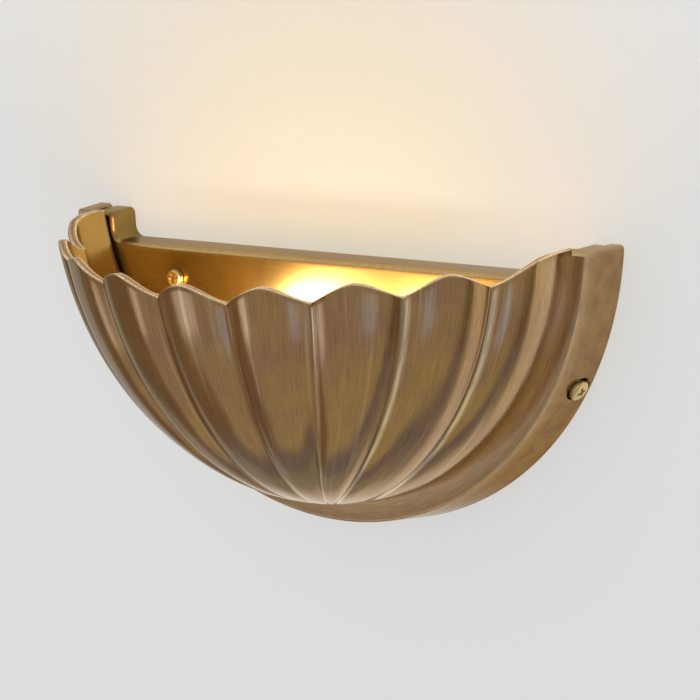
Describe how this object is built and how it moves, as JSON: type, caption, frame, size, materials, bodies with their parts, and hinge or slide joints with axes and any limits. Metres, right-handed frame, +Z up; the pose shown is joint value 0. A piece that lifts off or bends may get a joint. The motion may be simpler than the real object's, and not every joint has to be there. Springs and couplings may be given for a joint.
{
  "type": "wall sconce",
  "caption": "Open-topped wall uplighter: a fluted half-bowl of cast aged brass on a drafted band, with a closing pan, wall strap and hidden capsule lamp.",
  "frame": {"origin": "on the wall, at the middle of the fixing strap, half way between its two wall holes", "axes": "-Y out of the wall into the room, +Z up, +X to the right as seen from the room"},
  "size_m": [0.2974, 0.1123, 0.1322],
  "materials": {
    "aged_brass": "cast, browned and brushed, lacquered",
    "pale_brass": "turned and lightly tarnished",
    "zinc_steel": "bright zinc plated",
    "steatite": "unglazed white ceramic",
    "clear_glass": "clear, polished",
    "lit_core": "glowing core of the lamp",
    "black_rubber": "moulded, matt",
    "brown_sleeve": "insulating sleeve",
    "blue_sleeve": "insulating sleeve",
    "green_sleeve": "insulating sleeve"
  },
  "bodies": {
    "fixture": {"shell": "aged_brass", "back_pan": "aged_brass", "wall_strap": "zinc_steel", "lamp_bracket": "pale_brass", "bracket_screws": "pale_brass", "bracket_nuts": "zinc_steel", "holder_body": "steatite", "holder_contacts": "zinc_steel", "holder_screws": "pale_brass", "holder_nuts": "zinc_steel", "lead_grommet": "black_rubber", "lead_live": "brown_sleeve", "lead_neutral": "blue_sleeve", "terminal_block": "steatite", "terminal_tubes": "pale_brass", "terminal_screws": "pale_brass", "terminal_fixings": "zinc_steel", "earth_screw": "pale_brass", "earth_tag": "pale_brass", "earth_lead": "green_sleeve"},
    "side_screw_left": {"side_screw_left": "pale_brass"},
    "side_screw_right": {"side_screw_right": "pale_brass"},
    "pan_screw_left": {"pan_screw_left": "pale_brass"},
    "pan_screw_right": {"pan_screw_right": "pale_brass"},
    "lamp": {"lamp_glass": "clear_glass", "lamp_core": "lit_core", "lamp_cap": "steatite", "lamp_pins": "zinc_steel"}
  },
  "joints": [
    {"name": "side_screw_left_draw", "type": "slide", "parent": "fixture", "child": "side_screw_left", "axis": [-0.8434, 0, -0.5373], "range_m": [-0.0055, 0.016]},
    {"name": "side_screw_right_draw", "type": "slide", "parent": "fixture", "child": "side_screw_right", "axis": [0.8434, 0, -0.5373], "range_m": [-0.0055, 0.016]},
    {"name": "pan_screw_left_draw", "type": "slide", "parent": "fixture", "child": "pan_screw_left", "axis": [0, -1, 0], "range_m": [0, 0.018]},
    {"name": "pan_screw_right_draw", "type": "slide", "parent": "fixture", "child": "pan_screw_right", "axis": [0, -1, 0], "range_m": [0, 0.018]},
    {"name": "lamp_lift", "type": "slide", "parent": "fixture", "child": "lamp", "axis": [0, 0, 1], "range_m": [0, 0.09]}
  ]
}
